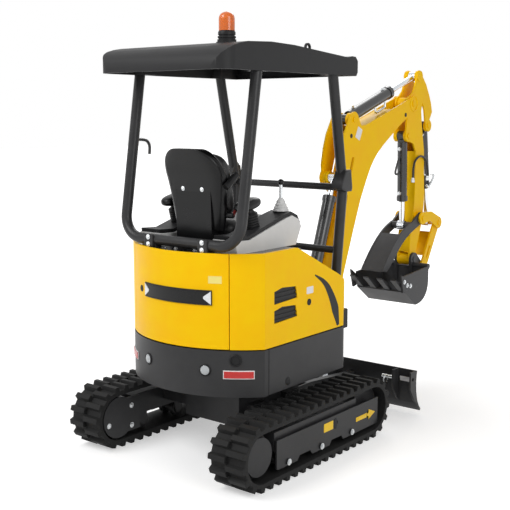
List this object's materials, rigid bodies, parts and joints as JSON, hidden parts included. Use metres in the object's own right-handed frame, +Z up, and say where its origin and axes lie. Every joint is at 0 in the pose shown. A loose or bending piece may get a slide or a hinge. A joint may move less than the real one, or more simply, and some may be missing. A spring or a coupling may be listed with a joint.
{
  "type": "mini excavator",
  "caption": "Small tracked digger with a canopy over the driver, a swing boom, an arm with bucket and hydraulic thumb, and a dozer blade, for digging in tight places.",
  "frame": {"origin": "the point on the ground under the slew axis", "axes": "+X forward over the blade, +Y to the driver's left, +Z up"},
  "size_m": [3.088, 1.3, 2.4558],
  "materials": {
    "yellow_paint": "gloss",
    "grey_paint": "satin",
    "black_paint": "satin",
    "track_rubber": "matte",
    "chrome_rod": "polished",
    "cast_grey": "satin",
    "dark_steel": "satin",
    "seat_vinyl": "satin",
    "pale_plastic": "satin",
    "grey_plastic": "matte",
    "black_plastic": "matte",
    "amber_lens": "gloss",
    "clear_lens": "polished"
  },
  "bodies": {
    "undercarriage": {"centre_frame": "grey_paint", "slew_ring": "dark_steel"},
    "left_track": {"track_frame_left": "grey_paint", "track_left": "track_rubber", "wheels_left": "dark_steel", "travel_motor_left": "grey_paint"},
    "right_track": {"track_frame_right": "grey_paint", "track_right": "track_rubber", "wheels_right": "dark_steel", "travel_motor_right": "grey_paint"},
    "blade": {"blade": "grey_paint", "blade_arms": "grey_paint"},
    "blade_barrel": {"blade_barrel": "black_paint"},
    "blade_rod": {"blade_rod": "chrome_rod"},
    "house": {"house_frame": "grey_paint", "counterweight": "cast_grey", "skirts": "grey_paint", "left_cover": "yellow_paint", "tank_box": "yellow_paint", "deck_top": "black_paint", "engine": "cast_grey", "seat_base": "black_paint", "seat_cushion": "seat_vinyl", "seat_back": "seat_vinyl", "consoles": "pale_plastic", "console_tops": "grey_plastic", "joysticks": "black_plastic", "travel_levers": "black_plastic", "rear_hoop": "grey_paint", "front_frame": "grey_paint", "roof": "grey_plastic", "beacon_base": "black_plastic", "beacon_lens": "amber_lens", "lamps": "clear_lens"},
    "rear_hood": {"rear_hood": "yellow_paint"},
    "right_cover": {"right_cover": "yellow_paint", "side_vents": "black_plastic"},
    "king_post": {"king_post": "grey_paint"},
    "boom": {"boom": "yellow_paint"},
    "boom_barrel": {"boom_barrel": "black_paint"},
    "boom_rod": {"boom_rod": "chrome_rod"},
    "arm": {"arm": "yellow_paint"},
    "arm_barrel": {"arm_barrel": "black_paint"},
    "arm_rod": {"arm_rod": "chrome_rod"},
    "tipping_link": {"tipping_link": "yellow_paint"},
    "bucket_link": {"bucket_link": "yellow_paint"},
    "bucket_barrel": {"bucket_barrel": "black_paint"},
    "bucket_rod": {"bucket_rod": "chrome_rod"},
    "bucket": {"bucket": "grey_paint"},
    "thumb": {"thumb": "grey_paint"},
    "thumb_barrel": {"thumb_barrel": "black_paint"},
    "thumb_rod": {"thumb_rod": "chrome_rod"}
  },
  "joints": [
    {"name": "house_slew", "type": "hinge", "parent": "undercarriage", "child": "house", "pos_m": [0, 0, 0.43], "axis": [0, 0, 1], "continuous": true},
    {"name": "track_left_slide", "type": "slide", "parent": "undercarriage", "child": "left_track", "axis": [0, -1, 0], "range_m": [0, 0.155]},
    {"name": "track_right_slide", "type": "slide", "parent": "undercarriage", "child": "right_track", "axis": [0, 1, 0], "range_m": [0, 0.155]},
    {"name": "blade_lift", "type": "hinge", "parent": "undercarriage", "child": "blade", "pos_m": [0.4, 0, 0.232], "axis": [0, -1, 0], "range_deg": [-25, 20]},
    {"name": "blade_barrel_turn", "type": "hinge", "parent": "undercarriage", "child": "blade_barrel", "pos_m": [0.32, 0, 0.322], "axis": [0, 1, 0], "range_deg": [-18, 22]},
    {"name": "blade_rod_slide", "type": "slide", "parent": "blade_barrel", "child": "blade_rod", "axis": [0.9773, 0, -0.2119], "range_m": [-0.03, 0.035]},
    {"name": "rear_hood_hinge", "type": "hinge", "parent": "house", "child": "rear_hood", "pos_m": [-0.53675, -0.34857, 0.95], "axis": [0, 0, 1], "range_deg": [0, 70]},
    {"name": "right_cover_hinge", "type": "hinge", "parent": "house", "child": "right_cover", "pos_m": [-0.53675, -0.34857, 0.95], "axis": [0, 0, -1], "range_deg": [0, 70]},
    {"name": "boom_swing", "type": "hinge", "parent": "house", "child": "king_post", "pos_m": [0.7, 0, 0.536], "axis": [0, 0, 1], "range_deg": [-55, 75]},
    {"name": "boom_lift", "type": "hinge", "parent": "king_post", "child": "boom", "pos_m": [0.87, 0, 0.63], "axis": [0, -1, 0], "range_deg": [-75, 20]},
    {"name": "boom_barrel_turn", "type": "hinge", "parent": "king_post", "child": "boom_barrel", "pos_m": [0.675, 0, 0.735], "axis": [0, 1, 0], "range_deg": [-20, 72]},
    {"name": "boom_rod_slide", "type": "slide", "parent": "boom_barrel", "child": "boom_rod", "axis": [0.333, 0, 0.9429], "range_m": [-0.08, 0.28]},
    {"name": "arm_swing", "type": "hinge", "parent": "boom", "child": "arm", "pos_m": [1.86923, 0, 2.00533], "axis": [0, 1, 0], "range_deg": [-88, 6]},
    {"name": "arm_barrel_turn", "type": "hinge", "parent": "boom", "child": "arm_barrel", "pos_m": [1.07981, 0, 1.89533], "axis": [0, 1, 0], "range_deg": [-8, 2]},
    {"name": "arm_rod_slide", "type": "slide", "parent": "arm_barrel", "child": "arm_rod", "axis": [0.9458, 0, 0.3246], "range_m": [-0.33, 0.03]},
    {"name": "bucket_curl", "type": "hinge", "parent": "arm", "child": "bucket", "pos_m": [1.93956, 0, 0.85548], "axis": [0, 1, 0], "range_deg": [-90, 0]},
    {"name": "tipping_link_turn", "type": "hinge", "parent": "arm", "child": "tipping_link", "pos_m": [1.99405, 0, 1.16037], "axis": [0, 1, 0], "range_deg": [-50, 1]},
    {"name": "bucket_link_turn", "type": "hinge", "parent": "tipping_link", "child": "bucket_link", "pos_m": [2.24405, 0, 1.10837], "axis": [0, 1, 0], "range_deg": [-1, 44]},
    {"name": "bucket_barrel_turn", "type": "hinge", "parent": "arm", "child": "bucket_barrel", "pos_m": [2.1395, 0, 1.84553], "axis": [0, 1, 0], "range_deg": [-2, 2]},
    {"name": "bucket_rod_slide", "type": "slide", "parent": "bucket_barrel", "child": "bucket_rod", "axis": [0.1404, 0, -0.9901], "range_m": [-0.22, 0.005]},
    {"name": "thumb_turn", "type": "hinge", "parent": "arm", "child": "thumb", "pos_m": [1.99405, 0, 1.16037], "axis": [0, 1, 0], "range_deg": [0, 60]},
    {"name": "thumb_barrel_turn", "type": "hinge", "parent": "arm", "child": "thumb_barrel", "pos_m": [1.84423, 0, 1.77537], "axis": [0, 1, 0], "range_deg": [-3, 2]},
    {"name": "thumb_rod_slide", "type": "slide", "parent": "thumb_barrel", "child": "thumb_rod", "axis": [0.0329, 0, -0.9995], "range_m": [-0.145, 0.005]}
  ],
  "couplings": [
    {"joint": "track_right_slide", "follows": "track_left_slide", "ratio": 1},
    {"joint": "blade_barrel_turn", "follows": "blade_lift", "ratio": -0.8333},
    {"joint": "blade_rod_slide", "follows": "blade_lift", "m_per_rad": -0.06513},
    {"joint": "boom_barrel_turn", "follows": "boom_lift", "ratio": -0.93556},
    {"joint": "boom_rod_slide", "follows": "boom_lift", "m_per_rad": -0.20135},
    {"joint": "arm_barrel_turn", "follows": "arm_swing", "ratio": 0.07802},
    {"joint": "arm_rod_slide", "follows": "arm_swing", "m_per_rad": 0.20445},
    {"joint": "tipping_link_turn", "follows": "bucket_curl", "ratio": 0.54044},
    {"joint": "bucket_link_turn", "follows": "bucket_curl", "ratio": -0.47507},
    {"joint": "bucket_barrel_turn", "follows": "bucket_curl", "ratio": 0.00596},
    {"joint": "bucket_rod_slide", "follows": "bucket_curl", "m_per_rad": 0.1351},
    {"joint": "thumb_barrel_turn", "follows": "thumb_turn", "ratio": -0.01898},
    {"joint": "thumb_rod_slide", "follows": "thumb_turn", "m_per_rad": -0.13129}
  ]
}
